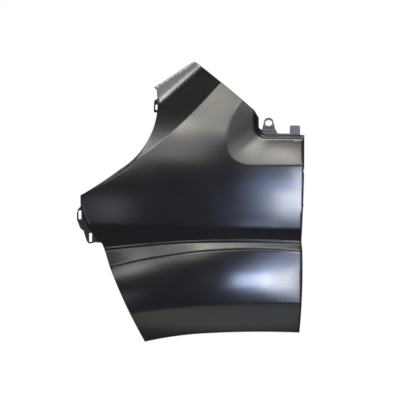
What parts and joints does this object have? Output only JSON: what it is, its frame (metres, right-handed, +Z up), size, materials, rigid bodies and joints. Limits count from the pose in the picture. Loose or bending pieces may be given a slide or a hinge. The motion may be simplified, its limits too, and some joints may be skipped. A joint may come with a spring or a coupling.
{
  "type": "car fender",
  "caption": "Front left body fender of a van in satin black, with headlamp cut-out, grooved swell over the wheel, return flanges and fixing tabs.",
  "frame": {"origin": "on the back face of the bolt tab, on its centre line, midway between the bolt hole and the crown of the tab", "axes": "+X towards the door edge (rear of the vehicle), +Y into the vehicle, +Z up; the outer face of the skin looks along -Y"},
  "size_m": [0.6838, 0.311, 0.8451],
  "materials": {
    "black_moulding": "satin black, smooth"
  },
  "bodies": {
    "root": {"fender": "black_moulding"}
  },
  "joints": []
}
